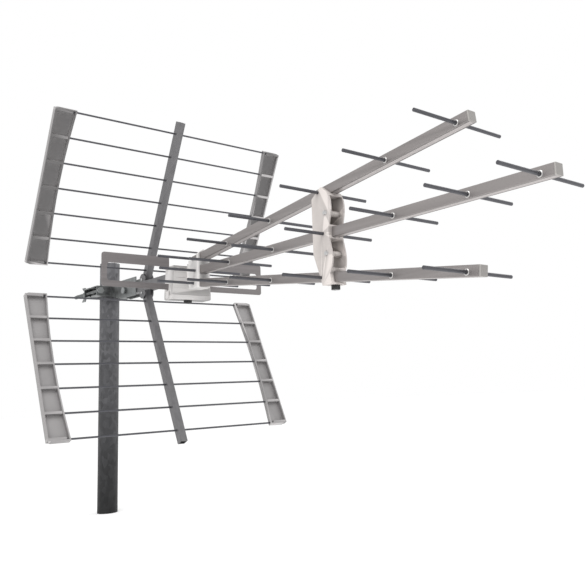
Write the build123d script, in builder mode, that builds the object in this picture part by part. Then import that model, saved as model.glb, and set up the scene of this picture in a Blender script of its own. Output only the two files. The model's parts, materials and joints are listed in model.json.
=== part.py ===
"""Triple-boom UHF yagi antenna on a mast stub, in millimetres, +Z up.

The origin is on the mast's axis at its foot. The antenna looks along -Y, and its elements
lie along X. Heights above the booms' level are written from boom_level.
"""
from build123d import *
from math import cos, radians, sin
import os

os.makedirs("parts", exist_ok=True)

# --- fits ---
rod_fit = 0.05            # radial clearance of a rod or pin in its hole
socket_fit = 0.1          # clearance on each side of a tube in its socket
body_gap = 0.3            # clearance between pieces that move past each other

# --- mast and its clamp ---
mast_diameter = 42.4
mast_wall = 2.0
mast_length = 545.0
boom_level = 470.0        # height of the middle boom above the mast's foot
clamp_width = 90.0
clamp_height = 22.0
clamp_rise = 8.0          # middle of the jaws above the booms' level
clamp_sheet = 2.5
notch_back = 2.0          # metal left behind the point of each notch
jaw_clear = 4.0           # half the gap left between the two jaws
tooth_depth = 1.6
tooth_count = 5
grip_gap = 0.05           # radial clearance of the teeth on the mast
clamp_rod_diameter = 8.0
clamp_rod_spacing = 76.0
clamp_rod_tail = 98.0
rod_head_width = 13.0
rod_head_height = 5.5
cheek_reach = 155.0       # how far the channel's cheeks stand ahead of the mast's axis
cheek_top = 24.0
cheek_bottom = 15.0
cheek_taper = 48.0        # length over which the cheeks widen from the web
wing_hub_diameter = 15.0
wing_hub_height = 10.0
wing_reach = 16.0
wing_sweep = 15.0
wing_thickness = 3.0

# --- bracket between the clamp and the dipole box ---
bracket_size = 20.0
bracket_wall = 2.0
tilt_reach = 105.0        # tilt bolt ahead of the mast's axis
tilt_bolt_diameter = 8.0
bracket_tail = 15.0       # bracket behind the tilt bolt
ear_radius = 12.0
ear_open_front = 27.0     # length of the slot ahead of the fold pins
ear_open_back = 20.0

# --- reflector ---
fold_reach = 180.0        # fold pins ahead of the mast's axis
fold_rise = 14.0          # fold pins above and below the booms' level
fold_lean = 26.0          # lean of each open panel, forward from upright
fold_pin_diameter = 5.0
spine_size = 14.0
spine_wall = 1.5
spine_foot = 8.0          # spine beyond its pin
spine_tip = 25.0          # spine beyond the last rod
reflector_rod_diameter = 3.5
reflector_rod_count = 7
reflector_rod_pitch = 48.4
first_rod = 20.5          # first rod from the fold pin
reflector_half_width = 248.0
profile_end_width = 40.0
profile_middle_width = 32.5
profile_sheet = 2.5
profile_depth = 10.0
profile_rib = 5.0
profile_corner = 8.0
profile_margin = 4.0      # profile beyond its first and last rods
rod_seat = 14.0           # rod's length inside a profile's widest end

# --- booms and directors ---
feed_reach = 400.0        # middle feed rod ahead of the mast's axis
boom_size = 15.0
boom_wall = 1.5
boom_corner = 1.0
boom_tail = 14.0
boom_overhang = 20.0
rod_drop = 1.5            # rods below the middle of each boom
cap_plate = 2.0
cap_plug = 8.0
outer_rise = 6.5          # angle of the outer booms from the middle one
outer_offset = 23.0
outer_setback = 6.0
director_diameter = 5.0
director_length = 170.0
stations = (106.0, 238.0, 377.0, 518.0, 650.0, 756.0)
outer_count = 5
spacer_station = 2        # which director the spacer stands at

# --- feed holder ---
holder_wall = 5.5         # beside the booms
holder_floor = 1.5        # under the lower boom
holder_top = 22.0
holder_front = 5.0        # holder ahead of the middle feed rod
holder_back = 24.0        # holder behind the middle feed rod
flange_depth = 4.0
flange_peak = 7.0         # flange's peak above the upper boom
flange_shoulder = 2.0     # flange's shoulders below the top of the upper boom
neck_width = 20.0         # neck between the holder and the dipole box
neck_height = 36.0

# --- dipole box and what it holds ---
box_front = 35.0          # box front behind the middle feed rod
box_depth = 30.0
box_width = 77.0
box_flare = 3.0
box_top = 14.0
box_floor = 41.0
box_wall = 2.5
box_rib_count = 4
box_rib_pitch = 10.0
box_rib_height = 1.6
box_rib_depth = 0.8
lid_height = 9.0
lid_hinge_diameter = 3.0
hinge_knuckle = 14.0
knuckle_wall = 1.6
latch_width = 10.0
latch_height = 13.0
latch_thickness = 2.5
gland_diameter = 11.0
gland_flange = 15.0
gland_bore = 7.0
gland_drop = 5.0
dipole_half_width = 171.0
dipole_top = 31.0
dipole_bottom = 31.0
dipole_top_bar = 18.5
dipole_bottom_bar = 11.0
dipole_side_bar = 10.0
dipole_top_gap = 78.0     # between the free ends of the two top bars
dipole_sheet = 2.0
dipole_corner = 5.0
dipole_setback = 51.0     # dipole behind the middle feed rod
feed_gap = 20.0
board_width = 60.0
board_height = 30.0
board_thickness = 1.6
connector_diameter = 8.4
connector_length = 16.0

# --- spacer ---
spacer_half_width = 14.5
spacer_split = 0.15
spacer_rear = 24.0        # straight rear edge behind the middle director
spacer_wide = 19.0        # front edge between the booms
spacer_waist = 13.0       # front edge at each boom
spacer_shoulder = 62.0
rear_top = 58.0
rear_bottom = 28.0
spacer_peak = 73.0
peak_back = 2.0           # peak behind the middle director
foot_wall = 4.5           # under the lower boom
foot_front = 16.0
foot_rear = 5.0
knob_lead = 8.0           # knob ahead of the middle director
spacer_plate = 2.5        # side plates beside the open front
spacer_back = 3.0         # rear wall
spacer_shelf = 3.0        # wall left above and below each boom
boss_diameter = 9.0
screw_lead = 7.0          # screws ahead of the middle director
screw_diameter = 4.0
screw_head = 8.0
screw_head_height = 2.4
screw_cover = 3.0         # wall in front of each screw's end
knob_diameter = 14.0
knob_height = 7.0
knob_lobes = 6
knob_lobe_radius = 2.5
spacer_bolt_diameter = 4.0
bolt_grip = 3.0           # spacer bolt's length inside the spacer's foot

# --- places worked out from the sizes above ---
mast_radius = mast_diameter / 2
notch_tip = (mast_radius + grip_gap) / cos(radians(45))
clamp_level = boom_level + clamp_rise
feed_y = -feed_reach
box_front_y = feed_y + box_front
box_back_y = box_front_y + box_depth
dipole_y = feed_y + dipole_setback
booms = {
    "middle": (0.0, 0.0, 0.0, stations),
    "upper": (outer_rise, outer_offset, outer_setback, stations[:outer_count]),
    "lower": (-outer_rise, -outer_offset, outer_setback, stations[:outer_count]),
}
panels = {"upper": 1, "lower": -1}


def save(part, name):
    """Label a finished piece and write its STEP file."""
    part.label = name
    export_step(part, f"parts/{name}.step")


def boom_point(side, distance):
    """A point on the line of a boom's rods, this far ahead of the boom's feed rod."""
    rise, offset, setback, _ = booms[side]
    y = feed_y + setback - distance * cos(radians(rise))
    return (0, y, boom_level + offset + distance * sin(radians(rise)))


def boom_plane(side, distance):
    """The plane square to a boom at this distance, centred on the tube, its normal along it."""
    rise = radians(booms[side][0])
    _, y, z = boom_point(side, distance)
    middle = (0, y + rod_drop * sin(rise), z + rod_drop * cos(rise))
    return Plane(origin=middle, x_dir=(1, 0, 0), z_dir=(0, -cos(rise), sin(rise)))


def across(point):
    """A plane through the point, its normal along the elements."""
    return Plane(origin=point, x_dir=(0, 1, 0), z_dir=(1, 0, 0))


def cut_round_across(points, radius, reach):
    """Cut round holes along X through the part being built."""
    for point in points:
        with BuildSketch(across(point)) as hole:
            Circle(radius)
        extrude(hole.sketch, amount=reach, both=True, mode=Mode.SUBTRACT)


def cut_boom_sockets(sides, start, length):
    """Cut a clearance hole for each boom through the part being built."""
    for side in sides:
        with BuildSketch(boom_plane(side, start)) as socket:
            Rectangle(boom_size + 2 * socket_fit, boom_size + 2 * socket_fit)
        extrude(socket.sketch, amount=length, mode=Mode.SUBTRACT)


def toothed_notch(front):
    """Outline of a serrated V notch that grips the mast, opening towards the mast's middle.

    The tooth tips lie on two lines at 45 degrees, tangent to the mast."""
    points = [(0, front * notch_tip)]
    run = (notch_tip - jaw_clear + tooth_depth) / tooth_count
    for tooth in range(tooth_count):
        middle = (tooth + 0.5) * run
        end = (tooth + 1) * run
        points.append((middle + tooth_depth / 2, front * (notch_tip - middle + tooth_depth)))
        points.append((end, front * (notch_tip - end)))
    mirrored = [(-x, y) for x, y in reversed(points[1:])]
    return points + mirrored


def panel_point(way, distance):
    """A point on a reflector panel's spine, this far from its fold pin."""
    lean = radians(fold_lean)
    y = -fold_reach - distance * sin(lean)
    z = fold_rise + distance * cos(lean)
    return (0, y, boom_level + way * z)


def panel_plane(way, distance):
    """The plane square to a panel's spine at this distance from its fold pin."""
    lean = radians(fold_lean)
    return Plane(origin=panel_point(way, distance), x_dir=(1, 0, 0), z_dir=(0, -sin(lean), way * cos(lean)))


def panel_face(way):
    """The panel's own plane: x across, y along the spine, normal towards the front or back."""
    lean = radians(fold_lean)
    return Plane(origin=panel_point(way, 0), x_dir=(1, 0, 0), z_dir=(0, -way * cos(lean), -sin(lean)))


# --- mast ---
with BuildPart() as mast_tube:
    with BuildSketch():
        Circle(mast_radius)
        Circle(mast_radius - mast_wall, mode=Mode.SUBTRACT)
    extrude(amount=mast_length)
save(mast_tube.part, "mast_tube")

# --- clamp channel: web, toothed flanges and two cheeks ---
web_back = -(notch_tip + notch_back)
web_front = web_back - clamp_sheet
cheek_inner = bracket_size / 2 + body_gap
rod_places = [(-clamp_rod_spacing / 2, 0), (clamp_rod_spacing / 2, 0)]
web_plane = Plane(origin=(0, web_front, clamp_level), x_dir=(1, 0, 0), z_dir=(0, -1, 0))
with BuildPart() as clamp_channel:
    with BuildSketch(web_plane):
        Rectangle(clamp_width, clamp_height)
        with Locations(*rod_places):
            Circle(clamp_rod_diameter / 2 + rod_fit, mode=Mode.SUBTRACT)
    extrude(amount=-clamp_sheet)
    for level in (-clamp_height / 2, clamp_height / 2 - clamp_sheet):
        with BuildSketch(Plane.XY.offset(clamp_level + level)):
            with Locations((0, (web_front - jaw_clear) / 2)):
                Rectangle(clamp_width, -web_front - jaw_clear)
            with BuildLine():
                Polyline(*toothed_notch(-1), close=True)
            make_face(mode=Mode.SUBTRACT)
        extrude(amount=clamp_sheet)
    for edge in (-cheek_inner - clamp_sheet, cheek_inner):
        with BuildSketch(Plane.YZ.offset(edge)):
            with BuildLine():
                Polyline(
                    (web_front, clamp_level - clamp_height / 2),
                    (web_front - cheek_taper, boom_level - cheek_bottom),
                    (-cheek_reach, boom_level - cheek_bottom),
                    (-cheek_reach, boom_level + cheek_top),
                    (web_front - cheek_taper, boom_level + cheek_top),
                    (web_front, clamp_level + clamp_height / 2),
                    close=True,
                )
            make_face()
            with Locations((-tilt_reach, boom_level)):
                Circle(tilt_bolt_diameter / 2 + rod_fit, mode=Mode.SUBTRACT)
        extrude(amount=clamp_sheet)
save(clamp_channel.part, "clamp_channel")

# --- rear jaw ---
jaw_back = -web_back
jaw_face = jaw_back + clamp_sheet
jaw_plane = Plane(origin=(0, jaw_back, clamp_level), x_dir=(1, 0, 0), z_dir=(0, -1, 0))
with BuildPart() as clamp_jaw:
    with BuildSketch(jaw_plane):
        Rectangle(clamp_width, clamp_height)
        with Locations(*rod_places):
            Circle(clamp_rod_diameter / 2 + rod_fit, mode=Mode.SUBTRACT)
    extrude(amount=-clamp_sheet)
    for level in (-clamp_height / 2, clamp_height / 2 - clamp_sheet):
        with BuildSketch(Plane.XY.offset(clamp_level + level)):
            with Locations((0, (jaw_face + jaw_clear) / 2)):
                Rectangle(clamp_width, jaw_face - jaw_clear)
            with BuildLine():
                Polyline(*toothed_notch(1), close=True)
            make_face(mode=Mode.SUBTRACT)
        extrude(amount=clamp_sheet)
save(clamp_jaw.part, "clamp_jaw")

# --- threaded rods with their heads ---
with BuildPart() as clamp_rods:
    with BuildSketch(web_plane):
        with Locations(*rod_places):
            RegularPolygon(rod_head_width / 2, 6, major_radius=False)
    extrude(amount=rod_head_height)
    with BuildSketch(web_plane):
        with Locations(*rod_places):
            Circle(clamp_rod_diameter / 2)
    extrude(amount=-(clamp_rod_tail - web_front))
save(clamp_rods.part, "clamp_rods")

# --- wing nuts ---
for side, x in (("left", -clamp_rod_spacing / 2), ("right", clamp_rod_spacing / 2)):
    nut_plane = Plane(origin=(x, jaw_face, clamp_level), x_dir=(1, 0, 0), z_dir=(0, 1, 0))
    ear_plane = Plane(origin=(x, jaw_face, clamp_level), x_dir=(0, 1, 0), z_dir=(1, 0, 0))
    with BuildPart() as wing_nut:
        with BuildSketch(nut_plane):
            Circle(wing_hub_diameter / 2)
        extrude(amount=wing_hub_height, taper=8)
        with BuildSketch(ear_plane):
            with BuildLine():
                Polyline(
                    (wing_hub_height / 3, 0),
                    (wing_hub_height / 3, wing_hub_diameter / 3),
                    (wing_hub_height, wing_reach),
                    (wing_hub_height + wing_sweep, wing_reach),
                    (wing_hub_height, wing_hub_diameter / 3),
                    (wing_hub_height, 0),
                    close=True,
                )
            make_face()
            mirror(about=Plane.XZ)
        extrude(amount=wing_thickness / 2, both=True)
        with BuildSketch(nut_plane):
            Circle(clamp_rod_diameter / 2 + rod_fit)
        extrude(amount=wing_hub_height + wing_sweep, mode=Mode.SUBTRACT)
    save(wing_nut.part, f"{side}_wing_nut")

# --- tilt bolt and its nut ---
cheek_outer = cheek_inner + clamp_sheet
tilt_head_plane = Plane(origin=(-cheek_outer, -tilt_reach, boom_level), x_dir=(0, 1, 0), z_dir=(-1, 0, 0))
tilt_nut_plane = Plane(origin=(cheek_outer, -tilt_reach, boom_level), x_dir=(0, 1, 0), z_dir=(1, 0, 0))
with BuildPart() as tilt_bolt:
    with BuildSketch(tilt_head_plane):
        RegularPolygon(rod_head_width / 2, 6, major_radius=False)
    extrude(amount=rod_head_height)
    with BuildSketch(tilt_head_plane):
        Circle(tilt_bolt_diameter / 2)
    extrude(amount=-(2 * cheek_outer + 2 * rod_head_height))
save(tilt_bolt.part, "tilt_bolt")
with BuildPart() as tilt_nut:
    with BuildSketch(tilt_nut_plane):
        RegularPolygon(rod_head_width / 2, 6, major_radius=False)
        Circle(tilt_bolt_diameter / 2 + rod_fit, mode=Mode.SUBTRACT)
    extrude(amount=rod_head_height)
save(tilt_nut.part, "tilt_nut")

# --- boom bracket: two side plates joined by webs, open where the spines fold ---
bracket_end = -tilt_reach + bracket_tail
with BuildPart() as boom_bracket:
    for edge in (-bracket_size / 2, bracket_size / 2 - bracket_wall):
        with BuildSketch(Plane.YZ.offset(edge)):
            with Locations(((box_back_y + bracket_end) / 2, boom_level)):
                Rectangle(bracket_end - box_back_y, bracket_size)
            with Locations((-fold_reach, boom_level + fold_rise), (-fold_reach, boom_level - fold_rise)):
                Circle(ear_radius)
                Circle(fold_pin_diameter / 2 + rod_fit, mode=Mode.SUBTRACT)
            with Locations((-tilt_reach, boom_level)):
                Circle(tilt_bolt_diameter / 2 + rod_fit, mode=Mode.SUBTRACT)
        extrude(amount=bracket_wall)
    web_runs = (
        (box_back_y, -fold_reach - ear_open_front),
        (-fold_reach + ear_open_back, -tilt_reach - bracket_tail),
    )
    for start, end in web_runs:
        for level in (-bracket_size / 2, bracket_size / 2 - bracket_wall):
            with BuildSketch(Plane.XY.offset(boom_level + level)):
                with Locations((0, (start + end) / 2)):
                    Rectangle(bracket_size - 2 * bracket_wall, end - start)
            extrude(amount=bracket_wall)
save(boom_bracket.part, "boom_bracket")

# --- reflector panels ---
rod_distances = [first_rod + number * reflector_rod_pitch for number in range(reflector_rod_count)]
last_rod = rod_distances[-1]
rod_half_length = reflector_half_width - profile_end_width + rod_seat
for side, way in panels.items():
    with BuildPart() as hinge_pin:
        with BuildSketch(across(panel_point(way, 0))):
            Circle(fold_pin_diameter / 2)
        extrude(amount=bracket_size / 2 + bracket_wall, both=True)
    save(hinge_pin.part, f"{side}_hinge_pin")

    with BuildPart() as spine:
        with BuildSketch(panel_plane(way, -spine_foot)):
            Rectangle(spine_size, spine_size)
            Rectangle(spine_size - 2 * spine_wall, spine_size - 2 * spine_wall, mode=Mode.SUBTRACT)
        extrude(amount=spine_foot + last_rod + spine_tip)
        cut_round_across([panel_point(way, 0)], fold_pin_diameter / 2 + rod_fit, spine_size)
        rod_points = [panel_point(way, distance) for distance in rod_distances]
        cut_round_across(rod_points, reflector_rod_diameter / 2 + rod_fit, spine_size)
    save(spine.part, f"{side}_spine")

    with BuildPart() as rods:
        for point in rod_points:
            with BuildSketch(across(point)):
                Circle(reflector_rod_diameter / 2)
            extrude(amount=rod_half_length, both=True)
    save(rods.part, f"{side}_reflector_rods")

    for hand, turn in (("left", -1), ("right", 1)):
        outer = turn * reflector_half_width
        end_x = turn * (reflector_half_width - profile_end_width)
        middle_x = turn * (reflector_half_width - profile_middle_width)
        low = first_rod - profile_margin
        high = last_rod + profile_margin
        back = profile_depth / 2
        with BuildPart() as profile:
            with BuildSketch(panel_face(way).offset(way * -back)) as face:
                with BuildLine():
                    Line((outer, low), (outer, high))
                    Line((outer, high), (end_x, high))
                    ThreePointArc((end_x, high), (middle_x, (low + high) / 2), (end_x, low))
                    Line((end_x, low), (outer, low))
                make_face()
                fillet(face.vertices().sort_by(Axis.X)[::turn][-2:], profile_corner)
            extrude(amount=way * profile_sheet)
            with BuildSketch(panel_face(way).offset(way * -back)):
                add(face.sketch_local)
                offset(amount=-profile_sheet, kind=Kind.INTERSECTION, mode=Mode.SUBTRACT)
            extrude(amount=way * profile_depth)
            rib_start = turn * (reflector_half_width - profile_middle_width)
            with BuildSketch(panel_face(way).offset(way * -back)):
                for distance in rod_distances:
                    with Locations(((outer + rib_start) / 2, distance)):
                        Rectangle(abs(outer - rib_start), profile_rib)
            extrude(amount=way * profile_depth)
            for point in rod_points:
                with BuildSketch(across(point)):
                    Circle(reflector_rod_diameter / 2 + rod_fit)
                extrude(amount=turn * rod_half_length, mode=Mode.SUBTRACT)
        save(profile.part, f"{side}_{hand}_profile")

# --- booms, end caps and directors ---
for side, (*_, places) in booms.items():
    with BuildPart() as boom:
        with BuildSketch(boom_plane(side, -boom_tail)):
            RectangleRounded(boom_size, boom_size, boom_corner)
            Rectangle(boom_size - 2 * boom_wall, boom_size - 2 * boom_wall, mode=Mode.SUBTRACT)
        extrude(amount=boom_tail + places[-1] + boom_overhang)
        hole_points = [boom_point(side, distance) for distance in (0, *places)]
        cut_round_across(hole_points, director_diameter / 2 + rod_fit, boom_size)
    save(boom.part, f"{side}_boom")

    with BuildPart() as cap:
        with BuildSketch(boom_plane(side, places[-1] + boom_overhang)):
            RectangleRounded(boom_size, boom_size, boom_corner)
        extrude(amount=cap_plate)
        plug_size = boom_size - 2 * boom_wall - 2 * socket_fit
        with BuildSketch(boom_plane(side, places[-1] + boom_overhang)):
            Rectangle(plug_size, plug_size)
        extrude(amount=-cap_plug)
    save(cap.part, f"{side}_boom_cap")

    with BuildPart() as directors:
        for distance in places:
            with BuildSketch(across(boom_point(side, distance))):
                Circle(director_diameter / 2)
            extrude(amount=director_length / 2, both=True)
    save(directors.part, f"{side}_directors")

with BuildPart() as feed_directors:
    for side in booms:
        with BuildSketch(across(boom_point(side, 0))):
            Circle(director_diameter / 2)
        extrude(amount=director_length / 2, both=True)
save(feed_directors.part, "feed_directors")

# --- feed holder: a block with three sockets, a peaked front flange and a neck ---
holder_back_y = feed_y + holder_back
holder_length = holder_back + holder_front
holder_width = boom_size + 2 * holder_wall
flange_reach = holder_front + flange_depth
boom_half = boom_size / 2 / cos(radians(outer_rise))
upper_top = boom_plane("upper", flange_reach + outer_setback).origin.Z + boom_half - boom_level
lower_bottom = boom_level - boom_plane("lower", flange_reach + outer_setback).origin.Z + boom_half
holder_bottom = lower_bottom + holder_floor
with BuildPart() as feed_holder:
    with BuildSketch(Plane.XY.offset(boom_level - holder_bottom)):
        with Locations((0, holder_back_y - holder_length / 2)):
            Rectangle(holder_width, holder_length)
    extrude(amount=holder_top + holder_bottom)
    with BuildSketch(Plane.XY.offset(boom_level - neck_height / 2)):
        with Locations((0, (holder_back_y + box_front_y) / 2)):
            Rectangle(neck_width, box_front_y - holder_back_y)
    extrude(amount=neck_height)
    flange_plane = Plane(origin=(0, feed_y - holder_front, boom_level), x_dir=(1, 0, 0), z_dir=(0, -1, 0))
    with BuildSketch(flange_plane):
        with BuildLine():
            Polyline(
                (-holder_width / 2, -holder_bottom),
                (holder_width / 2, -holder_bottom),
                (holder_width / 2, upper_top - flange_shoulder),
                (0, upper_top + flange_peak),
                (-holder_width / 2, upper_top - flange_shoulder),
                close=True,
            )
        make_face()
    extrude(amount=flange_depth)
    socket_length = boom_tail + holder_front + flange_depth + outer_setback + boom_size / 2
    cut_boom_sockets(booms, -boom_tail, socket_length)
    cut_round_across([boom_point(side, 0) for side in booms], director_diameter / 2 + rod_fit, holder_width)
save(feed_holder.part, "feed_holder")

# --- dipole: two flat arms, each a bar folded back over itself with a free upper end ---
dipole_plane = Plane(origin=(0, dipole_y, boom_level), x_dir=(1, 0, 0), z_dir=(0, -1, 0))
dipole_inner = dipole_half_width - dipole_side_bar
for hand, turn in (("left", -1), ("right", 1)):
    with BuildPart() as arm:
        with BuildSketch(dipole_plane) as bar:
            with BuildLine():
                Polyline(
                    (turn * dipole_top_gap / 2, dipole_top),
                    (turn * dipole_half_width, dipole_top),
                    (turn * dipole_half_width, -dipole_bottom),
                    (turn * feed_gap / 2, -dipole_bottom),
                    (turn * feed_gap / 2, dipole_bottom_bar - dipole_bottom),
                    (turn * dipole_inner, dipole_bottom_bar - dipole_bottom),
                    (turn * dipole_inner, dipole_top - dipole_top_bar),
                    (turn * dipole_top_gap / 2, dipole_top - dipole_top_bar),
                    close=True,
                )
            make_face()
            fillet(bar.vertices().sort_by(Axis.X)[::turn][-4:], dipole_corner)
        extrude(amount=dipole_sheet / 2, both=True)
    save(arm.part, f"{hand}_dipole_arm")

# --- dipole box: flared shell, open underneath, with ribs across its front ---
lid_joint = boom_level - box_floor
hinge_y = box_back_y + lid_hinge_diameter / 2 + knuckle_wall
knuckle_radius = lid_hinge_diameter / 2 + knuckle_wall
floor_half_width = box_width / 2 + box_flare


def box_outline(inset):
    """The box's flared outline seen from the front, drawn this far inside its skin."""
    half_top = box_width / 2 - inset
    half_floor = floor_half_width - inset
    with BuildLine() as outline:
        Polyline(
            (-half_top, box_top - inset),
            (half_top, box_top - inset),
            (half_floor, -box_floor),
            (-half_floor, -box_floor),
            close=True,
        )
    make_face(outline.edges())


def knuckle(start, length):
    """A hinge knuckle along X on the rear edge, with a foot that joins it to its wall."""
    with BuildSketch(across((start, hinge_y, lid_joint))) as barrel:
        Circle(knuckle_radius)
    extrude(barrel.sketch, amount=length)


with BuildPart() as dipole_box:
    front_plane = Plane(origin=(0, box_front_y, boom_level), x_dir=(1, 0, 0), z_dir=(0, -1, 0))
    with BuildSketch(front_plane):
        box_outline(0)
    extrude(amount=-box_depth)
    fillet(dipole_box.faces().sort_by(Axis.Z)[-1].edges().filter_by(Axis.Y), box_wall / 2)
    with BuildSketch(front_plane.offset(-box_wall)):
        box_outline(box_wall)
    extrude(amount=-(box_depth - 2 * box_wall), mode=Mode.SUBTRACT)
    for number in range(box_rib_count):
        with BuildSketch(front_plane):
            for hand in (-1, 1):
                with Locations((hand * (neck_width + box_width) / 4, box_wall - number * box_rib_pitch)):
                    Rectangle((box_width - neck_width) / 2 - 2 * box_wall, box_rib_height)
        extrude(amount=box_rib_depth)
    with BuildSketch(Plane.YZ.offset(-floor_half_width)):
        with Locations((dipole_y, boom_level - dipole_bottom + dipole_bottom_bar / 2)):
            Rectangle(dipole_sheet + 2 * socket_fit, dipole_bottom_bar + 2 * socket_fit)
    extrude(amount=2 * floor_half_width, mode=Mode.SUBTRACT)
    for start in (-hinge_knuckle * 1.5, hinge_knuckle / 2):
        knuckle(start + body_gap, hinge_knuckle - body_gap * 2)
        with BuildSketch(Plane.XY.offset(lid_joint)):
            with Locations((start + hinge_knuckle / 2, (box_back_y + hinge_y) / 2)):
                Rectangle(hinge_knuckle - body_gap * 2, hinge_y - box_back_y)
        extrude(amount=knuckle_radius)
    cut_round_across([(0, hinge_y, lid_joint)], lid_hinge_diameter / 2 + rod_fit, box_width)
save(dipole_box.part, "dipole_box")

# --- lid, its pin, latches and the cable gland ---
lid_top = lid_joint - body_gap
with BuildPart() as box_lid:
    with BuildSketch(Plane.XY.offset(lid_top)):
        with Locations((0, (box_front_y + box_back_y) / 2)):
            Rectangle(2 * floor_half_width, box_depth)
    extrude(amount=-(lid_height - body_gap))
    fillet(box_lid.faces().sort_by(Axis.Z)[0].edges(), box_wall)
    with BuildSketch(Plane.XY.offset(lid_top)):
        with Locations((0, (box_front_y + box_back_y) / 2)):
            Rectangle(2 * (floor_half_width - box_wall), box_depth - 2 * box_wall)
    extrude(amount=-(lid_height - body_gap - box_wall), mode=Mode.SUBTRACT)
    with BuildSketch(Plane.XY.offset(lid_joint - lid_height)):
        with Locations((0, (box_front_y + box_back_y) / 2)):
            Circle(gland_diameter / 2 + rod_fit)
    extrude(amount=lid_height, mode=Mode.SUBTRACT)
    knuckle(-hinge_knuckle / 2 + body_gap, hinge_knuckle - body_gap * 2)
    with BuildSketch(Plane.XY.offset(lid_joint)):
        with Locations((0, (box_back_y + hinge_y) / 2)):
            Rectangle(hinge_knuckle - body_gap * 2, hinge_y - box_back_y)
    extrude(amount=-knuckle_radius)
    with BuildSketch(Plane.XY.offset(lid_top)):
        with Locations((0, box_back_y - box_wall)):
            Rectangle(hinge_knuckle, 2 * box_wall)
    extrude(amount=box_wall, mode=Mode.SUBTRACT)
    cut_round_across([(0, hinge_y, lid_joint)], lid_hinge_diameter / 2 + rod_fit, box_width)
save(box_lid.part, "box_lid")

with BuildPart() as lid_pin:
    with BuildSketch(across((0, hinge_y, lid_joint))):
        Circle(lid_hinge_diameter / 2)
    extrude(amount=hinge_knuckle * 1.5, both=True)
save(lid_pin.part, "lid_pin")

for hand, turn in (("left", -1), ("right", 1)):
    with BuildPart() as latch:
        outside = turn * floor_half_width
        with BuildSketch(Plane.XZ.offset(-(box_front_y + box_depth / 2 - latch_width / 2))):
            with BuildLine():
                Polyline(
                    (outside, lid_joint - latch_height / 2),
                    (outside + turn * latch_thickness, lid_joint - latch_height / 2),
                    (outside + turn * latch_thickness, lid_joint + latch_height / 2),
                    (outside + turn * body_gap, lid_joint + latch_height / 2),
                    (outside + turn * body_gap, lid_joint - 1),
                    (outside, lid_joint - 1),
                    close=True,
                )
            make_face()
        extrude(amount=-latch_width)
    save(latch.part, f"{hand}_latch")

with BuildPart() as cable_gland:
    box_middle_y = (box_front_y + box_back_y) / 2
    with BuildSketch(Plane.XY.offset(lid_joint - lid_height - gland_drop)):
        with Locations((0, box_middle_y)):
            Circle(gland_flange / 2)
    extrude(amount=gland_drop, taper=-4)
    with BuildSketch(Plane.XY.offset(lid_joint - lid_height)):
        with Locations((0, box_middle_y)):
            Circle(gland_diameter / 2)
    extrude(amount=box_wall)
    with BuildSketch(Plane.XY.offset(lid_joint - lid_height - gland_drop)):
        with Locations((0, box_middle_y)):
            Circle(gland_bore / 2)
    extrude(amount=gland_drop + box_wall, mode=Mode.SUBTRACT)
save(cable_gland.part, "cable_gland")

# --- balun board and its coaxial connector, inside the box ---
board_y = dipole_y + dipole_sheet / 2
with BuildPart() as balun_board:
    with BuildSketch(Plane(origin=(0, board_y, boom_level), x_dir=(1, 0, 0), z_dir=(0, 1, 0))):
        with Locations((0, dipole_bottom - dipole_bottom_bar - board_height / 4)):
            Rectangle(board_width, board_height)
    extrude(amount=board_thickness)
save(balun_board.part, "balun_board")

with BuildPart() as f_connector:
    connector_y = board_y + board_thickness + connector_diameter / 2
    with BuildSketch(Plane.XY.offset(lid_joint)):
        with Locations((0, connector_y)):
            Circle(connector_diameter / 2)
            Circle(connector_diameter / 4, mode=Mode.SUBTRACT)
    extrude(amount=connector_length)
save(f_connector.part, "f_connector")

# --- spacer: two halves that clamp the booms apart, open to the front between them ---
spacer_y = boom_point("middle", stations[spacer_station])[1]
knob_y = spacer_y - knob_lead
knob_station = (feed_y + outer_setback - knob_y) / cos(radians(outer_rise))
spacer_foot = boom_level - boom_plane("lower", knob_station).origin.Z + boom_half + foot_wall
waist_level = spacer_shoulder / 2


def spacer_outline():
    """The spacer's outline seen from the side: a straight rear and a front that narrows at each boom."""
    with BuildLine() as outline:
        Polyline(
            (-spacer_waist, spacer_shoulder),
            (peak_back, spacer_peak),
            (spacer_rear, rear_top),
            (spacer_rear, -rear_bottom),
            (foot_rear, -spacer_foot),
            (-foot_front, -spacer_foot),
            (-spacer_waist, -spacer_shoulder),
        )
        Spline(
            (-spacer_waist, -spacer_shoulder),
            (-spacer_wide, -waist_level),
            (-spacer_waist, 0),
            (-spacer_wide, waist_level),
            (-spacer_waist, spacer_shoulder),
        )
    make_face(outline.edges())


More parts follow.
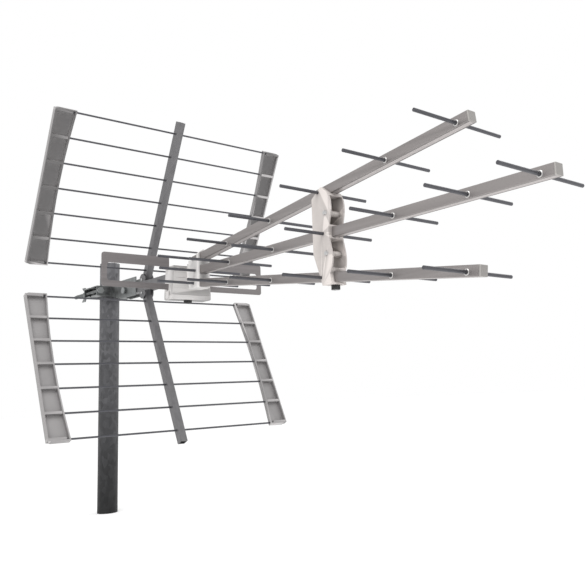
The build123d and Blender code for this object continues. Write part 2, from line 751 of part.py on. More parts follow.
screw_points = [(0, spacer_y - screw_lead, boom_level + level) for level in (-waist_level, waist_level)]
spacer_rods = [boom_point(side, stations[spacer_station]) for side in booms]
pocket_back = spacer_rear - spacer_back
pocket_front = -spacer_rear
pocket_half = boom_size / 2 + spacer_shelf
boom_middles = [boom_plane(side, stations[spacer_station]).origin.Z for side in ("lower", "middle", "upper")]
for hand, turn in (("left", -1), ("right", 1)):
    with BuildPart() as half:
        inner_plane = across((turn * spacer_split, spacer_y, boom_level))
        with BuildSketch(inner_plane):
            spacer_outline()
        extrude(amount=turn * (spacer_half_width - spacer_split))
        with BuildSketch(inner_plane):
            for below, above in zip(boom_middles[:-1], boom_middles[1:]):
                pocket_floor = below + pocket_half - boom_level
                pocket_roof = above - pocket_half - boom_level
                with Locations(((pocket_back + pocket_front) / 2, (pocket_floor + pocket_roof) / 2)):
                    Rectangle(pocket_back - pocket_front, pocket_roof - pocket_floor)
            with Locations((-screw_lead, -waist_level), (-screw_lead, waist_level)):
                Circle(boss_diameter / 2, mode=Mode.SUBTRACT)
        extrude(amount=turn * (spacer_half_width - spacer_plate - spacer_split), mode=Mode.SUBTRACT)
        cut_boom_sockets(booms, stations[spacer_station] - 2 * spacer_rear, 4 * spacer_rear)
        cut_round_across(spacer_rods, director_diameter / 2 + rod_fit, spacer_half_width)
        cut_round_across(screw_points, screw_diameter / 2 + rod_fit, spacer_half_width)
        with BuildSketch(Plane.XY.offset(boom_level - spacer_foot)):
            with Locations((0, knob_y)):
                Circle(spacer_bolt_diameter / 2 + rod_fit)
        extrude(amount=bolt_grip, mode=Mode.SUBTRACT)
    save(half.part, f"spacer_{hand}")

with BuildPart() as spacer_screws:
    for point in screw_points:
        head_plane = across((-spacer_half_width, point[1], point[2]))
        with BuildSketch(head_plane):
            Circle(screw_head / 2)
        extrude(amount=-screw_head_height, taper=20)
        with BuildSketch(head_plane):
            Circle(screw_diameter / 2)
        extrude(amount=2 * spacer_half_width - screw_cover)
save(spacer_screws.part, "spacer_screws")

with BuildPart() as spacer_bolt:
    with BuildSketch(Plane.XY.offset(boom_level - spacer_foot + bolt_grip)):
        with Locations((0, knob_y)):
            Circle(spacer_bolt_diameter / 2)
    extrude(amount=-(bolt_grip + knob_height + body_gap))
save(spacer_bolt.part, "spacer_bolt")

with BuildPart() as spacer_knob:
    with BuildSketch(Plane.XY.offset(boom_level - spacer_foot - body_gap)):
        with Locations((0, knob_y)):
            Circle(knob_diameter / 2 - knob_lobe_radius / 2)
            with PolarLocations(knob_diameter / 2 - knob_lobe_radius, knob_lobes):
                Circle(knob_lobe_radius)
            Circle(spacer_bolt_diameter / 2 + rod_fit, mode=Mode.SUBTRACT)
    extrude(amount=-knob_height)
save(spacer_knob.part, "spacer_knob")
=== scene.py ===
"""Looks of a triple-boom yagi antenna on a mast stub: moulded edges, threads, crimps and finishes."""
import json

import bmesh
import bpy
import numpy as np
from mathutils import Matrix, Vector


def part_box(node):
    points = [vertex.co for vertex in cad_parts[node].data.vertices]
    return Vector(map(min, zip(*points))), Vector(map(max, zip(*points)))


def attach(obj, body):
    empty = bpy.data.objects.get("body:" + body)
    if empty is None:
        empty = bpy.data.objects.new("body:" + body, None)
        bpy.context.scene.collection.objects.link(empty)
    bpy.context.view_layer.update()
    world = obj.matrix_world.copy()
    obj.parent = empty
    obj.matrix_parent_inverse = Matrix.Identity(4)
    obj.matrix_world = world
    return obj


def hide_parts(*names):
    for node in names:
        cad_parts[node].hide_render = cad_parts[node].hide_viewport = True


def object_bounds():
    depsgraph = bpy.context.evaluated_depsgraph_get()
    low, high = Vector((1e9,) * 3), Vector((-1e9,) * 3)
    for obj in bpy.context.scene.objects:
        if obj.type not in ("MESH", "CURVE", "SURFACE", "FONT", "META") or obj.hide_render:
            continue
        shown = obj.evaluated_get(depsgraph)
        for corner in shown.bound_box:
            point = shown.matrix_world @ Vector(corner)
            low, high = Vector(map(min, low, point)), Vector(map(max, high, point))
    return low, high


bl_info = {
    "name": "Yagi Antenna Looks",
    "version": (1, 0, 0),
    "blender": (4, 5, 0),
    "location": "View3D > Sidebar > Antenna",
    "description": "Adds the moulded edges, threads, crimps, finishes and studio of a yagi antenna",
    "category": "Object",
}

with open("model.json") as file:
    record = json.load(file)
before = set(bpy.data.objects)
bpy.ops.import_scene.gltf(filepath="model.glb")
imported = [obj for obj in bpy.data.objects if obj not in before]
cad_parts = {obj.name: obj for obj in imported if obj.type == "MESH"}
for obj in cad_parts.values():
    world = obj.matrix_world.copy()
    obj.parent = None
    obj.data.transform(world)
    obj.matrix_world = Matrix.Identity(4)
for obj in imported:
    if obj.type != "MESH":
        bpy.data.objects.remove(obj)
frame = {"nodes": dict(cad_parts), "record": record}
CAD_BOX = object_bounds()
MM = 0.001

SAME_POINT = 1e-7         # made vertices closer than this are one
SEAM = 2e-6               # a CAD node's vertices closer than this are one
FLAT_ANGLE = 0.02         # faces that turn less than this are one flat, in radians
SHARP_ANGLE = 0.6         # edges that turn more than this are rounded, in radians
POCKET_REACH = 14 * MM    # how far the walls of a pocket may be for it to get painted shade
THREAD_CORE = 3.95 * MM   # radius under the clamp rods' threads
NUT_DEPTH = 10.3 * MM     # from the jaw's rear face to the bare thread behind the wing nut
THREAD_LAP = 1 * MM       # how far the thread runs on into the channel
CRIMP_SINK = 0.2 * MM     # how far a crimp's origin lies under its boom's face
CRIMP_FOOT = 0.1 * MM     # how far a crimp goes on below that

BOOMS = ("middle", "upper", "lower")
PANELS = ("upper", "lower")
HANDS = ("left", "right")


# --- surfaces worked out on grids ---------------------------------------------------------

def size_of(node):
    """Extent of a CAD node's box along each axis."""
    low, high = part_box(node)
    return np.array(high) - np.array(low)


def axes_for(direction):
    """Two unit vectors square to a direction, and the direction itself."""
    along = np.array(direction, float)
    along = along / np.linalg.norm(along)
    helper = np.array((0.0, 0.0, 1.0)) if abs(along[2]) < 0.9 else np.array((1.0, 0.0, 0.0))
    first = np.cross(helper, along)
    first = first / np.linalg.norm(first)
    return first, np.cross(along, first), along


def grid_faces(rows, columns):
    """Quads of a grid that wraps round in its columns, listed row by row."""
    row, column = np.meshgrid(np.arange(rows - 1), np.arange(columns), indexing="ij")
    after = (column + 1) % columns
    quads = np.stack((row * columns + column, row * columns + after,
                      (row + 1) * columns + after, (row + 1) * columns + column), axis=-1)
    return quads.reshape(-1, 4)


def wrapped_surface(radius, height, origin, direction, segments):
    """Vertices and faces of a surface round an axis.

    radius is a grid of rows by segments, and height gives each row's distance along the
    axis: point = origin + r*cos(t)*first + r*sin(t)*second + h*along. Rows whose radius
    is nothing close the surface at a pole."""
    first, second, along = axes_for(direction)
    turn = np.linspace(0, 2 * np.pi, segments, endpoint=False)
    radius = np.broadcast_to(np.asarray(radius, float), (len(height), segments))
    points = (np.asarray(origin, float) + radius[..., None] * (
        np.cos(turn)[None, :, None] * first + np.sin(turn)[None, :, None] * second)
        + np.asarray(height, float)[:, None, None] * along)
    return points.reshape(-1, 3), grid_faces(len(height), segments)


def lathe(profile, origin, direction, segments=24):
    """A turned shape: profile is a list of (radius, height) pairs carried round the axis."""
    profile = np.array(profile, float)
    return wrapped_surface(profile[:, :1], profile[:, 1], origin, direction, segments)


def thread(core, depth, pitch, length, origin, direction, segments=20, steps=5):
    """A screw thread: radius = core + depth * triangle wave of (height / pitch - turn).

    The wave fades over one pitch at each end, and both ends close at a pole."""
    rows = int(length / pitch * steps) + 1
    height = np.linspace(0, length, rows)
    turn = np.arange(segments) / segments
    phase = (height[:, None] / pitch - turn[None, :]) % 1.0
    wave = 1 - np.abs(2 * phase - 1)
    fade = np.clip(np.minimum(height, length - height) / pitch, 0, 1)[:, None]
    radius = core + depth * wave * fade
    closed = np.vstack((np.zeros((1, segments)), radius, np.zeros((1, segments))))
    closed_height = np.concatenate(([0], height, [length]))
    return wrapped_surface(closed, closed_height, origin, direction, segments)


def add_piece(name, surfaces, body, material):
    """Join surfaces into one closed mesh that rides on a body and wears a material."""
    points, faces, start = [], [], 0
    for vertices, quads in surfaces:
        points.append(vertices)
        faces.append(quads + start)
        start += len(vertices)
    mesh = bpy.data.meshes.new(name)
    mesh.from_pydata(np.vstack(points).tolist(), [], np.vstack(faces).tolist())
    shell = bmesh.new()
    shell.from_mesh(mesh)
    bmesh.ops.remove_doubles(shell, verts=shell.verts, dist=SAME_POINT)
    bmesh.ops.dissolve_degenerate(shell, edges=shell.edges, dist=SAME_POINT)
    bmesh.ops.recalc_face_normals(shell, faces=shell.faces)
    for face in shell.faces:
        face.smooth = True
    shell.to_mesh(mesh)
    shell.free()
    piece = bpy.data.objects.new(name, mesh)
    bpy.context.collection.objects.link(piece)
    mesh.materials.append(material)
    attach(piece, body)
    return piece


def rounded_copy(node, name, width, segments, material):
    """A merged copy of a CAD node with its sharp edges rounded, standing for that node."""
    mesh = frame["nodes"][node].data.copy()
    mesh.name = name
    shell = bmesh.new()
    shell.from_mesh(mesh)
    bmesh.ops.remove_doubles(shell, verts=shell.verts, dist=SEAM)
    bmesh.ops.dissolve_limit(shell, angle_limit=FLAT_ANGLE, verts=shell.verts, edges=shell.edges)
    bmesh.ops.recalc_face_normals(shell, faces=shell.faces)
    shell.to_mesh(mesh)
    shell.free()
    piece = bpy.data.objects.new(name, mesh)
    bpy.context.collection.objects.link(piece)
    bevel = piece.modifiers.new("rounded_edges", "BEVEL")
    bevel.width = width
    bevel.segments = segments
    bevel.limit_method = "ANGLE"
    bevel.angle_limit = SHARP_ANGLE
    mesh.materials.clear()
    mesh.materials.append(material)
    for polygon in mesh.polygons:
        polygon.use_smooth = False
    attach(piece, body_of_node(node))
    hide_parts(node)
    return piece


def body_of_node(node):
    """Name of the body that a CAD node belongs to."""
    bodies = frame["record"]["behaviour"]["bodies"]
    return next(body for body, nodes in bodies.items() if node in nodes)


def slot_of_node(node):
    """Name of a CAD node's material slot."""
    return next(part["material_slot"] for part in frame["record"]["subparts"] if part["node"] == node)


def shells_of(node):
    """Boxes (low, high) of a CAD node's separate solids, sorted by Y, then Z, then X."""
    mesh = frame["nodes"][node].data.copy()
    shell = bmesh.new()
    shell.from_mesh(mesh)
    bmesh.ops.remove_doubles(shell, verts=shell.verts, dist=SEAM)
    found, left = [], set(shell.verts)
    while left:
        group, queue = [], [left.pop()]
        while queue:
            vertex = queue.pop()
            group.append(vertex.co.copy())
            for edge in vertex.link_edges:
                other = edge.other_vert(vertex)
                if other in left:
                    left.remove(other)
                    queue.append(other)
        points = np.array(group)
        found.append((points.min(axis=0), points.max(axis=0)))
    shell.free()
    bpy.data.meshes.remove(mesh)
    return sorted(found, key=lambda box: (box[0][1], box[0][2], box[0][0]))


# --- shader maths -------------------------------------------------------------------------

class Value:
    """A number socket that takes part in Python expressions by adding Math nodes."""

    def __init__(self, finish, socket):
        self.finish = finish
        self.socket = socket

    def math(self, operation, other=0.0, flip=False):
        """A Math node on this value and another, in that order unless flipped."""
        first, second = (other, self) if flip else (self, other)
        return Value(self.finish, self.finish.node(
            "ShaderNodeMath", {"operation": operation}, {0: first, 1: second}).outputs[0])

    def __add__(self, other):
        return self.math("ADD", other)

    __radd__ = __add__

    def __mul__(self, other):
        return self.math("MULTIPLY", other)

    __rmul__ = __mul__

    def __sub__(self, other):
        return self.math("SUBTRACT", other)

    def __rsub__(self, other):
        return self.math("SUBTRACT", other, flip=True)

    def between(self, low, high):
        """How far this value is from low to high, kept between 0 and 1."""
        return Value(self.finish, self.finish.node(
            "ShaderNodeMapRange", {"clamp": True}, {0: self, 1: low, 2: high, 3: 0.0, 4: 1.0}).outputs[0])


class Finish:
    """A material under construction: one method adds nodes, the rest name common ones."""

    def __init__(self, name, **constants):
        self.material = bpy.data.materials.new(name)
        self.material.use_nodes = True
        self.tree = self.material.node_tree
        self.tree.nodes.clear()
        output = self.node("ShaderNodeOutputMaterial", {}, {})
        self.shader = self.node("ShaderNodeBsdfPrincipled", {}, constants)
        self.tree.links.new(self.shader.outputs[0], output.inputs[0])

    def node(self, kind, settings, sockets):
        """Add a node: its settings first, then the values or links of its sockets."""
        made = self.tree.nodes.new(kind)
        for name, value in settings.items():
            setattr(made, name, value)
        for key, value in sockets.items():
            self.feed(made.inputs[key], value)
        return made

    def feed(self, socket, value):
        """Link a socket, or set its own value."""
        if isinstance(value, Value):
            self.tree.links.new(value.socket, socket)
        elif isinstance(value, bpy.types.NodeSocket):
            self.tree.links.new(value, socket)
        else:
            socket.default_value = value

    def place(self, scale):
        """Object coordinates, stretched along each axis."""
        coordinates = self.node("ShaderNodeTexCoord", {}, {})
        return self.node("ShaderNodeMapping", {}, {
            "Vector": coordinates.outputs["Object"], "Scale": scale}).outputs[0]

    def noise(self, scale, detail, stretch=(1.0, 1.0, 1.0), roughness=0.5):
        """Soft random variation between 0 and 1."""
        made = self.node("ShaderNodeTexNoise", {}, {
            "Vector": self.place(stretch), "Scale": scale, "Detail": detail, "Roughness": roughness})
        return Value(self, made.outputs["Fac"])

    def cells(self, scale, stretch=(1.0, 1.0, 1.0)):
        """A random value for each cell of a crystal pattern."""
        made = self.node("ShaderNodeTexVoronoi", {"feature": "F1"}, {
            "Vector": self.place(stretch), "Scale": scale})
        tone = self.node("ShaderNodeSeparateColor", {}, {0: made.outputs["Color"]})
        return Value(self, tone.outputs[0])

    def edges(self, low, high):
        """1 on sharp outer edges and 0 on flats, from the surface's pointiness."""
        geometry = self.node("ShaderNodeNewGeometry", {}, {})
        return Value(self, geometry.outputs["Pointiness"]).between(low, high)

    def facing(self):
        """The surface normal's height: -1 underneath, 0 on upright faces and 1 on top."""
        geometry = self.node("ShaderNodeNewGeometry", {}, {})
        parts = self.node("ShaderNodeSeparateXYZ", {}, {0: geometry.outputs["Normal"]})
        return Value(self, parts.outputs[2])

    def position(self, axis):
        """The point's own coordinate along an axis of its piece."""
        coordinates = self.node("ShaderNodeTexCoord", {}, {})
        parts = self.node("ShaderNodeSeparateXYZ", {}, {0: coordinates.outputs["Object"]})
        return Value(self, parts.outputs[axis])

    def hollow(self, reach):
        """1 deep in a corner or a pocket and 0 in the open."""
        shut = self.node("ShaderNodeAmbientOcclusion", {"samples": 8}, {"Distance": reach})
        return Value(self, shut.outputs["AO"]).between(0.9, 0.35)

    def mix(self, amount, first, second):
        """A colour part of the way from first to second."""
        made = self.node("ShaderNodeMix", {"data_type": "RGBA"}, {0: amount, 6: first, 7: second})
        return made.outputs[2]

    def bump(self, height, strength, distance):
        """A normal tilted by a height."""
        return self.node("ShaderNodeBump", {}, {
            "Strength": strength, "Distance": distance, "Height": height}).outputs[0]

    def wear(self, **sockets):
        """Feed the surface's own sockets and hand back the material."""
        for name, value in sockets.items():
            self.feed(self.shader.inputs[name.replace("_", " ")], value)
        return self.material


def tone(colour, factor):
    """A colour made lighter or darker, with full alpha."""
    return tuple(min(1.0, part * factor) for part in colour[:3]) + (1.0,)


def galvanised_finish(colour):
    """Weathered hot-dip zinc: crystal patches, cloudy stains, and painted shade that darkens it towards the
    foot.
    """
    look = Finish("galvanised", Metallic=0.4)
    patches = look.cells(150.0, (1.0, 1.0, 0.6))
    clouds = look.noise(14.0, 5.0, roughness=0.65)
    streaks = look.noise(60.0, 3.0, (1.0, 1.0, 0.12))
    mottle = patches * 0.35 + clouds * 0.9 + streaks * 0.3 - 0.35
    # painted shade: low is the darkened colour at the foot and high the lit colour at the top, mixed by
    # height below
    low = look.mix(mottle.between(0.05, 0.9), tone(colour, 0.02), tone(colour, 0.1))
    high = look.mix(mottle.between(0.05, 0.9), tone(colour, 0.3), tone(colour, 1.3))
    base = look.mix(look.position(2).between(0.0, 0.56), low, high)
    return look.wear(
        Base_Color=base,
        Roughness=0.42 + clouds * 0.25,
        Normal=look.bump(patches * 0.4 + streaks, 0.25, 0.0004))


def zinc_plate_finish(colour):
    """Dark passivated plate with bright worn edges and a fine satin grain."""
    look = Finish("zinc_plate", Metallic=0.85)
    stains = look.noise(90.0, 4.0)
    grain = look.noise(1500.0, 2.0)
    base = look.mix(stains.between(0.3, 0.7), tone(colour, 0.6), tone(colour, 1.35))
    worn = look.mix(look.edges(0.52, 0.6), base, tone(colour, 2.4))
    return look.wear(
        Base_Color=worn,
        Roughness=0.34 + stains * 0.22,
        Normal=look.bump(grain, 0.12, 0.0001))


def drawn_tube_finish(name, colour, along):
    """Mill-finish aluminium: fine drawing lines along the tube, light handling marks.

    Underneath, a painted highlight strip lies between two dark slot lines, whose soft inner and
    outer edges are measured from the tube's middle."""
    look = Finish(name, Metallic=0.8)
    across = tuple(0.03 if axis == along else 1.0 for axis in range(3))
    lines = look.noise(900.0, 2.0, across)
    bands = look.noise(120.0, 2.0, across)
    marks = look.noise(35.0, 5.0, roughness=0.7)
    base = look.mix(bands.between(0.25, 0.75), tone(colour, 0.86), tone(colour, 1.1))
    marked = look.mix(marks.between(0.62, 0.8) * 0.5, base, tone(colour, 0.66))
    # painted highlight: a bright strip along the tube's underside, between the dark slot lines
    under = (look.facing() * -1.0).between(0.82, 0.97)
    aside = look.position(0).math("ABSOLUTE")
    inner, outer = (4.2 * MM, 4.6 * MM), (5.5 * MM, 5.9 * MM)
    underside_highlight = under * aside.between(inner[1], inner[0])
    slot = under * aside.between(*inner) * aside.between(outer[1], outer[0])
    lined = look.mix(slot, marked, tone(colour, 0.25))
    lit = look.mix(underside_highlight, lined, tone(colour, 1.5))
    return look.wear(
        Base_Color=lit,
        Roughness=0.36 + lines * 0.12 + marks * 0.1,
        Normal=look.bump(lines, 0.18, 0.00008))


def rod_finish(colour):
    """Dark drawn rod: lines along X, brighter where the ends were sheared."""
    look = Finish("rod_grey", Metallic=0.7)
    lines = look.noise(1100.0, 2.0, (0.03, 1.0, 1.0))
    patches = look.noise(40.0, 3.0, (0.4, 1.0, 1.0))
    base = look.mix(patches.between(0.3, 0.7), tone(colour, 0.75), tone(colour, 1.3))
    worn = look.mix(look.edges(0.55, 0.68), base, tone(colour, 2.6))
    return look.wear(
        Base_Color=worn,
        Roughness=0.38 + lines * 0.15,
        Normal=look.bump(lines, 0.15, 0.00006))


def moulded_finish(name, colour, grain=0.1, rough=0.42, shade=1.0, rim=1.3, pocket_shade=0.42):
    """Moulded plastic: slow clouding, fine texture, painted highlights on the edges, and painted
    shade on downward faces and in pockets.

    grain is the texture's depth and rough the least roughness. shade is the tone of the painted
    shade on faces that look down, rim that of the painted edge highlights and the last argument
    that of the painted shade in pockets."""
    look = Finish(name)
    clouds = look.noise(22.0, 3.0)
    texture = look.noise(1400.0, 2.0)
    unshaded = look.mix(clouds.between(0.3, 0.7), tone(colour, 0.93), tone(colour, 1.05))
    # painted shade: faces that look down take the darker shade tone
    base = look.mix(look.facing().between(-0.45, 0.45), tone(colour, shade), unshaded)
    # painted shade: corners and pockets are darkened where less light reaches
    pocket_shaded = look.mix(look.hollow(POCKET_REACH), base, tone(colour, pocket_shade))
    # painted highlight: sharp edges are lightened to the rim tone
    edge_highlighted = look.mix(look.edges(0.51, 0.58), pocket_shaded, tone(colour, rim))
    return look.wear(
        Base_Color=edge_highlighted,
        Roughness=rough + clouds * 0.1,
        Normal=look.bump(texture, grain, 0.0002))


def board_finish(colour):
    """Solder mask over copper tracks."""
    look = Finish("circuit_board", **{"Coat Roughness": 0.1})
    tracks = look.cells(260.0).between(0.55, 0.6)
    base = look.mix(tracks, tone(colour, 0.8), tone(colour, 1.7))
    return look.wear(Base_Color=base, Roughness=0.3 + tracks * 0.1)


def plated_finish(name, colour):
    """Bright plating with faint turning marks."""
    look = Finish(name, Metallic=1.0)
    marks = look.noise(700.0, 2.0, (1.0, 1.0, 0.2))
    base = look.mix(marks, tone(colour, 0.85), tone(colour, 1.1))
    return look.wear(Base_Color=base, Roughness=0.22 + marks * 0.15, Normal=look.bump(marks, 0.1, 0.00005))


def floor_finish(colour):
    """Plain pale floor with barely visible variation."""
    look = Finish("studio_floor", **{"Emission Color": (1.0, 1.0, 1.0, 1.0), "Emission Strength": 0.09})
    clouds = look.noise(3.0, 2.0)
    base = look.mix(clouds, tone(colour, 0.99), tone(colour, 1.0))
    return look.wear(Base_Color=base, Roughness=0.9)


# --- sizes and colours a user may change --------------------------------------------------

def colour_property(name, description, default):
    """A colour setting."""
    return bpy.props.FloatVectorProperty(
        name=name, description=description, default=default, subtype="COLOR", min=0.0, max=1.0, size=3)


def length_property(name, description, default):
    """A length setting, in metres."""
    return bpy.props.FloatProperty(
        name=name, description=description, default=default, unit="LENGTH", min=0.0, precision=5)


class AntennaSizes(bpy.types.PropertyGroup):
    """Sizes of the edges, threads and crimps"""
    edge_radius: length_property("Moulded edge", "Radius of the moulded pieces' edges", 0.8 * MM)
    sheet_radius: length_property("Sheet edge", "Radius of pressed and cut metal edges", 0.3 * MM)
    thread_pitch: length_property("Thread pitch", "Pitch of the clamp rods' threads", 1.25 * MM)
    thread_depth: length_property("Thread depth", "Height of the threads' crests", 0.35 * MM)
    crimp_radius: length_property("Crimp radius", "Radius of the crimp round each director", 5.0 * MM)
    crimp_height: length_property("Crimp height", "How far a crimp stands out of its boom", 0.8 * MM)


class AntennaColours(bpy.types.PropertyGroup):
    """Colours of the finishes and the floor"""
    galvanised: colour_property("Galvanised", "Mast tube", (0.17, 0.17, 0.18))
    zinc_plate: colour_property("Zinc plate", "Clamp, bolts and nuts", (0.13, 0.135, 0.135))
    boom_aluminium: colour_property("Booms", "Boom tubes", (0.29, 0.27, 0.265))
    spine_aluminium: colour_property("Spines", "Reflector spines and bracket", (0.17, 0.167, 0.172))
    rod_grey: colour_property("Rods", "Directors and reflector rods", (0.045, 0.045, 0.05))
    dipole_sheet: colour_property("Dipole", "Dipole arms", (0.22, 0.205, 0.205))
    profile_plastic: colour_property("Profiles", "Reflector edge strips", (0.28, 0.27, 0.27))
    box_plastic: colour_property("Box", "Dipole box and lid", (0.34, 0.33, 0.325))
    spacer_plastic: colour_property("Spacer", "Spacer halves", (0.5, 0.463, 0.442))
    holder_plastic: colour_property("Holder", "Feed holder", (0.64, 0.625, 0.615))
    cap_plastic: colour_property("Caps", "Boom end caps", (0.23, 0.22, 0.21))
    black_plastic: colour_property("Knob", "Spacer knob", (0.012, 0.012, 0.012))
    gland_rubber: colour_property("Gland", "Cable gland", (0.015, 0.015, 0.015))
    circuit_board: colour_property("Board", "Balun board", (0.02, 0.16, 0.05))
    plated_brass: colour_property("Connector", "Coaxial connector", (0.7, 0.66, 0.52))
    # painted highlight: the crimps' bright colour stands for the light caught round each rod's entry
    bright_aluminium: colour_property("Crimps", "Freshly pressed aluminium", (0.5, 0.49, 0.48))
    screw_steel: colour_property("Screws", "Screws and pins", (0.55, 0.55, 0.55))
    floor: colour_property("Floor", "Studio floor", (0.93, 0.93, 0.93))


def finishes():
    """Every finish by its slot, made once."""
    colours = bpy.context.scene.antenna_colours
    makers = {
        "galvanised": galvanised_finish,
        "zinc_plate": zinc_plate_finish,
        "boom_aluminium": lambda colour: drawn_tube_finish("boom_aluminium", colour, 1),
        "spine_aluminium": lambda colour: drawn_tube_finish("spine_aluminium", colour, 2),
        "rod_grey": rod_finish,
        "dipole_sheet": lambda colour: drawn_tube_finish("dipole_sheet", colour, 0),
        "profile_plastic": lambda colour: moulded_finish(
            "profile_plastic", colour, shade=0.45, rim=1.6, pocket_shade=0.9),
        "box_plastic": lambda colour: moulded_finish("box_plastic", colour, shade=0.6, rim=1.7),
        "spacer_plastic": lambda colour: moulded_finish("spacer_plastic", colour, 0.14, 0.5, shade=0.8),
        "holder_plastic": lambda colour: moulded_finish("holder_plastic", colour, 0.06, 0.35, shade=0.7),
        "cap_plastic": lambda colour: moulded_finish("cap_plastic", colour, shade=0.8, rim=2.6),
        "black_plastic": lambda colour: moulded_finish("black_plastic", colour, 0.1, 0.35),
        "gland_rubber": lambda colour: moulded_finish("gland_rubber", colour, 0.2, 0.6),
        "circuit_board": board_finish,
        "plated_brass": lambda colour: plated_finish("plated_brass", colour),
        # painted highlight: this bright finish is worn by the crimps
        "bright_aluminium": lambda colour: plated_finish("bright_aluminium", colour),
        "screw_steel": lambda colour: plated_finish("screw_steel", colour),
    }
    for name, maker in makers.items():
        if name not in bpy.data.materials:
            maker(getattr(colours, name))
    return bpy.data.materials


# --- operators ----------------------------------------------------------------------------

class ANTENNA_OT_finishes(bpy.types.Operator):
    """Give every CAD node the finish of its slot"""
    bl_idname = "antenna.finishes"
    bl_label = "Finishes"

    def execute(self, context):
        for old in list(bpy.data.materials):
            old.name = f"{old.name}.cad"
        materials = finishes()
        for node, item in frame["nodes"].items():
            for place in item.material_slots:
                place.material = materials[slot_of_node(node)]
        return {"FINISHED"}


class ANTENNA_OT_moulded_edges(bpy.types.Operator):
    """Round the edges of the moulded pieces and pressed plates"""
    bl_idname = "antenna.moulded_edges"
    bl_label = "Moulded edges"

    def execute(self, context):
        sizes = context.scene.antenna_sizes
        moulded = ["feed_holder", "dipole_box", "box_lid", "spacer_left", "spacer_right",
                   "left_latch", "right_latch", "spacer_knob"]
        moulded += [f"{side}_boom_cap" for side in BOOMS]
        moulded += [f"{side}_{hand}_profile" for side in PANELS for hand in HANDS]
        for node in moulded:
            rounded_copy(node, f"{node}_moulded", sizes.edge_radius, 3, finishes()[slot_of_node(node)])
        pressed = ["clamp_channel", "clamp_jaw", "left_dipole_arm", "right_dipole_arm", "boom_bracket",
                   "left_wing_nut", "right_wing_nut"]
        for node in pressed:
            rounded_copy(node, f"{node}_pressed", sizes.sheet_radius, 2, finishes()[slot_of_node(node)])
        return {"FINISHED"}


class ANTENNA_OT_crimps(bpy.types.Operator):
    """Raise a crimp round each director where it passes through its boom, coloured bright as a painted
    highlight
    """
    bl_idname = "antenna.crimps"
    bl_label = "Crimps"

    def execute(self, context):
        sizes = context.scene.antenna_sizes
        for side in BOOMS:
            half = size_of(f"{side}_boom")[0] / 2
            surfaces = []
            for low, high in shells_of(f"{side}_directors"):
                centre = (low + high) / 2
                rod = (high[2] - low[2]) / 2
                profile = crimp_profile(rod, sizes.crimp_radius, sizes.crimp_height)
                for way in (-1, 1):
                    origin = centre + np.array((way * (half - CRIMP_SINK), 0, 0))
                    surfaces.append(lathe(profile, origin, (way, 0, 0)))
            add_piece(f"{side}_crimps", surfaces, "antenna",
                      finishes()["bright_aluminium"])
        return {"FINISHED"}


def crimp_profile(inner, outer, height):
    """Cross-section of a crimp ring: height = h * sin(pi * (0.25 + 0.75 * t)) ** 1.5.

    t runs from 0 at the rod to 1 at the ring's edge, and the ring closes underneath."""
    t = np.linspace(0, 1, 9)
    radius = inner + (outer - inner) * t
    top = height * np.sin(np.pi * (0.25 + 0.75 * t)) ** 1.5
    ring = list(zip(radius, top))
    return ring + [(outer, -CRIMP_FOOT), (inner, -CRIMP_FOOT), ring[0]]


class ANTENNA_OT_threads(bpy.types.Operator):
    """Cut threads on the clamp rods, behind the wing nuts and between channel and jaw"""
    bl_idname = "antenna.threads"
    bl_label = "Threads"

    def execute(self, context):
        sizes = context.scene.antenna_sizes
        jaw_low, jaw_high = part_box("clamp_jaw")
        channel_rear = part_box("clamp_channel")[1][1]
        surfaces = []
        for low, high in shells_of("clamp_rods"):
            centre = (low + high) / 2
            for start, end in ((jaw_high[1] + NUT_DEPTH, high[1]), (channel_rear - THREAD_LAP, jaw_low[1])):
                surfaces.append(thread(THREAD_CORE, sizes.thread_depth, sizes.thread_pitch,
                                       end - start, (centre[0], start, centre[2]), (0, 1, 0)))
        add_piece("clamp_rod_threads", surfaces, "clamp", finishes()["zinc_plate"])
        return {"FINISHED"}


class ANTENNA_OT_stage(bpy.types.Operator):
    """Lay the floor, hang the lights and set the camera"""
    bl_idname = "antenna.stage"
    bl_label = "Stage"

    def execute(self, context):
        scene = context.scene
        lay_floor(scene.antenna_colours.floor)
        hang_lights()
        set_camera(scene)
        scene.view_settings.view_transform = "Standard"
        world = bpy.data.worlds.new("studio")
        world.use_nodes = True
        world.node_tree.nodes["Background"].inputs[0].default_value = (1.0, 1.0, 1.0, 1.0)
        world.node_tree.nodes["Background"].inputs[1].default_value = 1.0
        scene.world = world
        return {"FINISHED"}


def lay_floor(colour):
    """A wide plane under the mast's foot."""
    reach = 12.0
    mesh = bpy.data.meshes.new("floor")
    mesh.from_pydata([(-reach, -reach, 0), (reach, -reach, 0), (reach, reach, 0), (-reach, reach, 0)],
                     [], [(0, 1, 2, 3)])
    floor = bpy.data.objects.new("floor", mesh)
    bpy.context.collection.objects.link(floor)
    mesh.materials.append(floor_finish(colour))


def hang_lights():
    """A large soft key above the left, and a weaker fill from the right."""
    target = Vector(((CAD_BOX[0][0] + CAD_BOX[1][0]) / 2, (CAD_BOX[0][1] + CAD_BOX[1][1]) / 2, 0.45))
    lights = (("key", (-1.6, -1.6, 2.6), 40.0, 1.6), ("fill", (2.2, -0.6, 1.4), 12.0, 1.8))
    for name, place, power, width in lights:
        data = bpy.data.lights.new(name, "AREA")
        data.energy = power
        data.size = width
        lamp = bpy.data.objects.new(name, data)
        bpy.context.collection.objects.link(lamp)
        lamp.location = place
        lamp.rotation_euler = (target - Vector(place)).to_track_quat("-Z", "Y").to_euler()


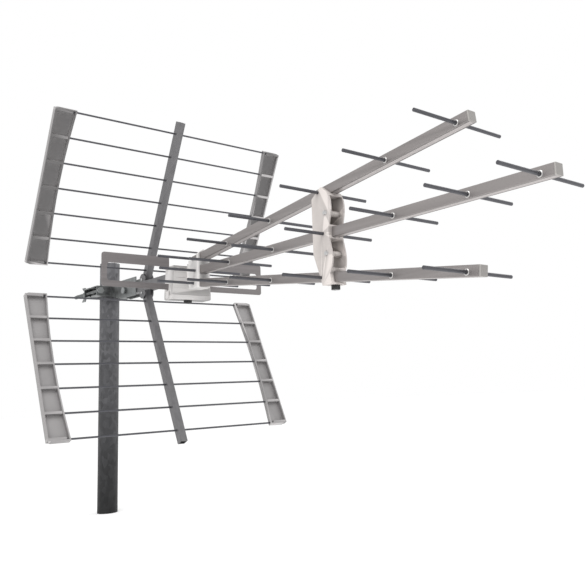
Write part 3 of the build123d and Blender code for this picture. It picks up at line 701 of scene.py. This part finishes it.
def set_camera(scene):
    """The camera stands to the left of the booms, a little below them, and looks slightly up."""
    yaw, pitch, roll = 0.751, 0.171, -0.048
    lens, shift_x, shift_y = 45.44, -0.118, -0.057
    stand = Vector((-0.7174, -1.6130, 0.2387))
    ahead = Vector((np.sin(yaw) * np.cos(pitch), np.cos(yaw) * np.cos(pitch), np.sin(pitch)))
    level = Vector((np.cos(yaw), -np.sin(yaw), 0))
    above = level.cross(ahead)
    right = level * np.cos(roll) + above * np.sin(roll)
    up = above * np.cos(roll) - level * np.sin(roll)
    data = bpy.data.cameras.new("camera")
    data.lens = lens
    data.shift_x = shift_x
    data.shift_y = shift_y
    camera = bpy.data.objects.new("camera", data)
    bpy.context.collection.objects.link(camera)
    turn = Matrix((right, up, -ahead)).transposed().to_4x4()
    camera.matrix_world = Matrix.Translation(stand) @ turn
    scene.camera = camera


class ANTENNA_PT_panel(bpy.types.Panel):
    """Sizes, colours and steps of the antenna's looks"""
    bl_idname = "ANTENNA_PT_panel"
    bl_label = "Antenna"
    bl_space_type = "VIEW_3D"
    bl_region_type = "UI"
    bl_category = "Antenna"

    def draw(self, context):
        for group in (context.scene.antenna_sizes, context.scene.antenna_colours):
            for name in group.__annotations__:
                self.layout.prop(group, name)
        for operator in OPERATORS:
            self.layout.operator(operator.bl_idname)


OPERATORS = (
    ANTENNA_OT_finishes,
    ANTENNA_OT_moulded_edges,
    ANTENNA_OT_crimps,
    ANTENNA_OT_threads,
    ANTENNA_OT_stage,
)
CLASSES = (AntennaSizes, AntennaColours) + OPERATORS + (ANTENNA_PT_panel,)


def register():
    """Add the classes, and their settings on the scene."""
    for item in CLASSES:
        bpy.utils.register_class(item)
    bpy.types.Scene.antenna_sizes = bpy.props.PointerProperty(type=AntennaSizes)
    bpy.types.Scene.antenna_colours = bpy.props.PointerProperty(type=AntennaColours)


def unregister():
    """Take the settings and the classes away again."""
    del bpy.types.Scene.antenna_colours
    del bpy.types.Scene.antenna_sizes
    for item in reversed(CLASSES):
        bpy.utils.unregister_class(item)


def main():
    """Register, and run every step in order."""
    register()
    for operator in OPERATORS:
        space, name = operator.bl_idname.split(".")
        getattr(getattr(bpy.ops, space), name)()


if __name__ == "__main__":
    main()
